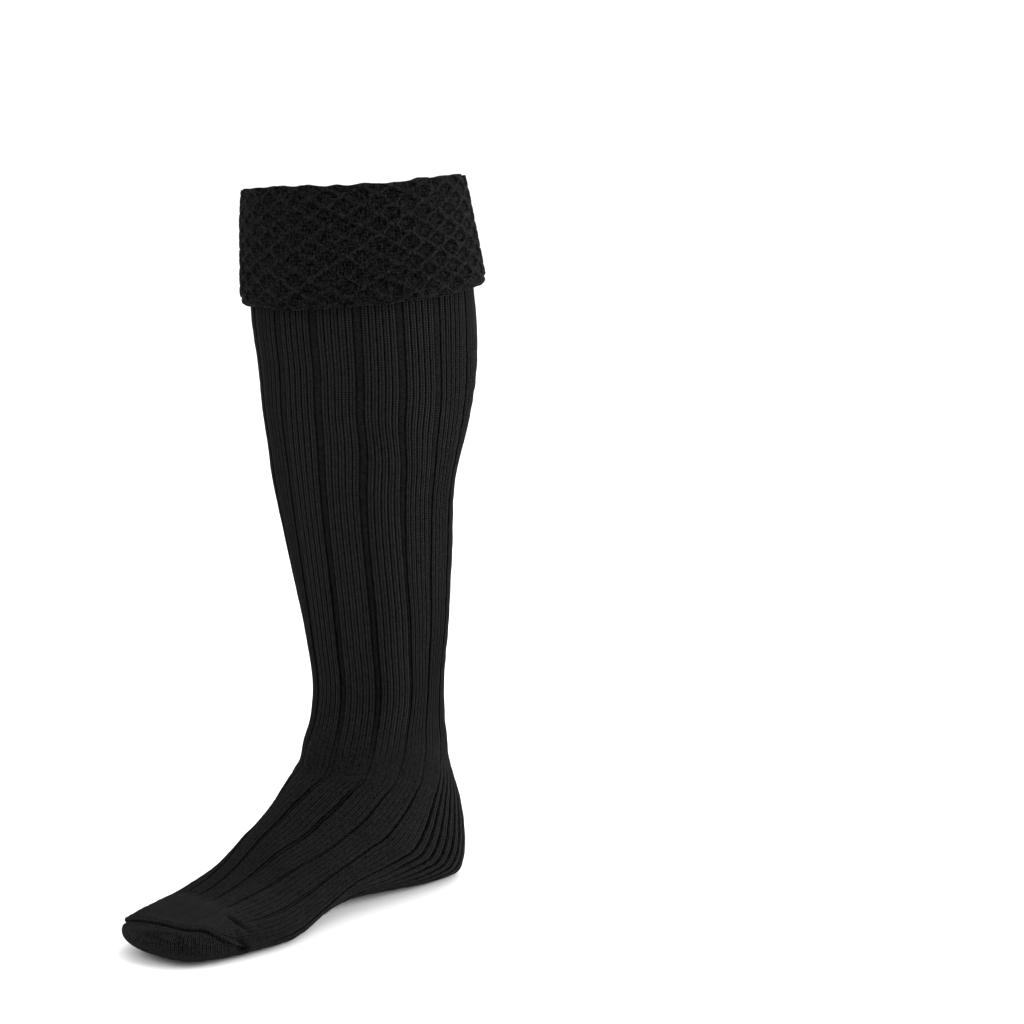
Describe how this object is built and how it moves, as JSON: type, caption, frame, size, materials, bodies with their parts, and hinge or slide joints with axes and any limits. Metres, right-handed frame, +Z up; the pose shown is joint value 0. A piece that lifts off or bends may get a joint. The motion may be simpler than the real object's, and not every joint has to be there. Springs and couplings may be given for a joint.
{
  "type": "kilt hose sock",
  "caption": "Knee-high ribbed knit kilt sock in worn shape, hollow, with a turned-down cuff in a diamond trellis knit, a heel pocket, a plain toe and a toe seam.",
  "frame": {"origin": "middle of the mouth at the height of the turned fold, where a leg goes in and the sock is held up", "axes": "+Z up along the leg and out of the mouth, toes toward -Y, inner side of the foot +X"},
  "size_m": [0.1357, 0.2584, 0.4344],
  "materials": {
    "cuff_wool": "matt near-black wool, raised diamond trellis",
    "rib_wool": "matt near-black wool, wide ribs of fine wales",
    "heel_wool": "matt near-black wool, close ribs",
    "toe_wool": "matt near-black wool, plain knit",
    "seam_yarn": "matt near-black linking yarn"
  },
  "bodies": {
    "root": {"turnover_cuff": "cuff_wool", "leg": "rib_wool", "heel": "heel_wool", "foot": "rib_wool", "toe_cap": "toe_wool", "toe_seam": "seam_yarn"}
  },
  "joints": []
}
